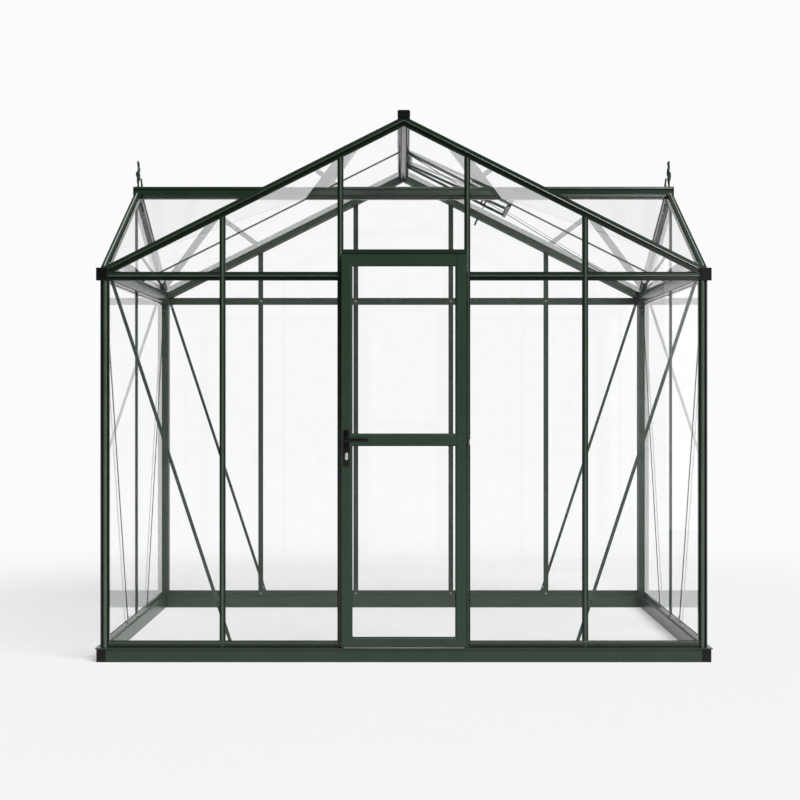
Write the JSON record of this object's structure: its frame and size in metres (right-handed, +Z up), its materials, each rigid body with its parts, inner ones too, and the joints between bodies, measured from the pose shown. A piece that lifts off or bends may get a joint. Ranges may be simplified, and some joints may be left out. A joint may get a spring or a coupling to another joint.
{
  "type": "garden greenhouse",
  "caption": "Glazed garden greenhouse in dark green aluminium with crossed gable roofs, a hinged door with lever handle, a roof vent, wall braces and ridge finials.",
  "frame": {"origin": "on the ground under the middle of the whole greenhouse, its door lever included", "axes": "+Z up, +X to the right of someone facing the door, the door front faces -Y"},
  "size_m": [3.232, 2.025, 2.894],
  "materials": {
    "frame_green": "satin dark green powder coat on extruded aluminium",
    "base_green": "satin green powder coat on folded steel",
    "black_plastic": "matt black moulding",
    "handle_black": "satin black coated metal",
    "clear_glass": "clear toughened float glass"
  },
  "bodies": {
    "house": {"plinth_front": "base_green", "plinth_back": "base_green", "plinth_sides": "base_green", "plinth_corners": "black_plastic", "sill_front": "frame_green", "sill_back": "frame_green", "sill_sides": "frame_green", "corner_posts": "frame_green", "front_mullions": "frame_green", "door_jambs": "frame_green", "back_mullions": "frame_green", "side_mullions": "frame_green", "front_eave_rails": "frame_green", "back_eave_rails": "frame_green", "door_head": "frame_green", "front_rakes": "frame_green", "back_rakes": "frame_green", "eave_beams": "frame_green", "gutter_caps": "black_plastic", "main_ridge": "frame_green", "ridge_caps": "black_plastic", "cross_ridge": "frame_green", "side_rakes": "frame_green", "mid_rafters": "frame_green", "front_braces": "frame_green", "back_braces": "frame_green", "side_braces": "frame_green", "roof_brace": "frame_green", "finials": "frame_green", "glass_front": "clear_glass", "glass_back": "clear_glass", "glass_sides": "clear_glass", "glass_roof": "clear_glass", "glass_cross_roof": "clear_glass", "vent_frame": "frame_green", "vent_sash": "frame_green", "vent_glass": "clear_glass", "vent_stay": "black_plastic", "jamb_hinges": "frame_green"},
    "door": {"door_stiles": "frame_green", "door_rails": "frame_green", "door_glass": "clear_glass", "door_lock": "handle_black", "door_hinges": "frame_green"},
    "lever": {"door_lever": "handle_black"}
  },
  "joints": [
    {"name": "door_swing", "type": "hinge", "parent": "house", "child": "door", "pos_m": [0.335, -0.9605, 1.1], "axis": [0, 0, 1], "range_deg": [0, 110]},
    {"name": "handle_turn", "type": "hinge", "parent": "door", "child": "lever", "pos_m": [-0.2995, -0.9605, 1.163], "axis": [0, 1, 0], "range_deg": [0, 40], "stiffness_Nm_per_rad": 0.9, "springref_deg": -14.32}
  ]
}
